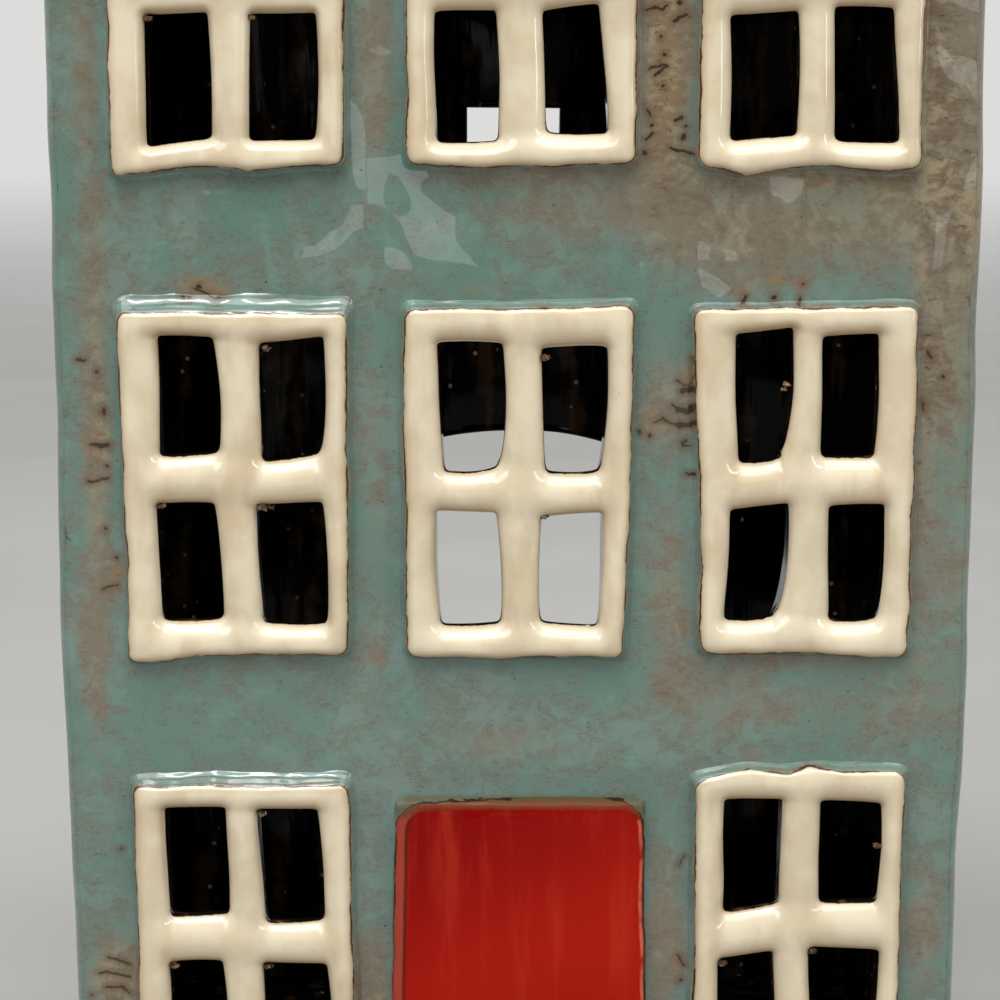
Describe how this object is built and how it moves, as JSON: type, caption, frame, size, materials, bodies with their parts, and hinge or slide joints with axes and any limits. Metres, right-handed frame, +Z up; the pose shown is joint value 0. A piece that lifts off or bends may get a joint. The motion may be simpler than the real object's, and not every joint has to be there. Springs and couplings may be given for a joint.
{
  "type": "tealight house",
  "caption": "Glazed stoneware lantern shaped as a tall narrow house, with open windows that a tealight lights from inside and an arch at the back to put it in by.",
  "frame": {"origin": "middle of the footprint, on the surface that the house stands on", "axes": "+Z up, +X to the right of someone facing the door, +Y from the door to the open arch at the back"},
  "size_m": [0.174, 0.102, 0.331],
  "materials": {
    "teal_glaze": "gloss",
    "cream_glaze": "gloss",
    "red_glaze": "gloss",
    "dark_glaze": "gloss",
    "bare_clay": "matte",
    "foil": "satin",
    "wax": "satin",
    "tab_steel": "satin",
    "wick_cotton": "matte"
  },
  "bodies": {
    "house": {"front_wall": "teal_glaze", "back_wall": "teal_glaze", "left_wall": "teal_glaze", "right_wall": "teal_glaze", "base": "bare_clay", "front_roof": "dark_glaze", "back_roof": "dark_glaze", "ridge_strip": "dark_glaze", "left_chimney": "teal_glaze", "right_chimney": "teal_glaze", "door": "red_glaze", "ground_left_window": "cream_glaze", "ground_right_window": "cream_glaze", "first_left_window": "cream_glaze", "first_middle_window": "cream_glaze", "first_right_window": "cream_glaze", "top_left_window": "cream_glaze", "top_middle_window": "cream_glaze", "top_right_window": "cream_glaze"},
    "tealight": {"tealight_cup": "foil", "tealight_wax": "wax", "wick_tab": "tab_steel", "tealight_wick": "wick_cotton"}
  },
  "joints": [
    {"name": "tealight_slide", "type": "slide", "parent": "house", "child": "tealight", "axis": [0, 1, 0], "range_m": [0, 0.075]}
  ]
}
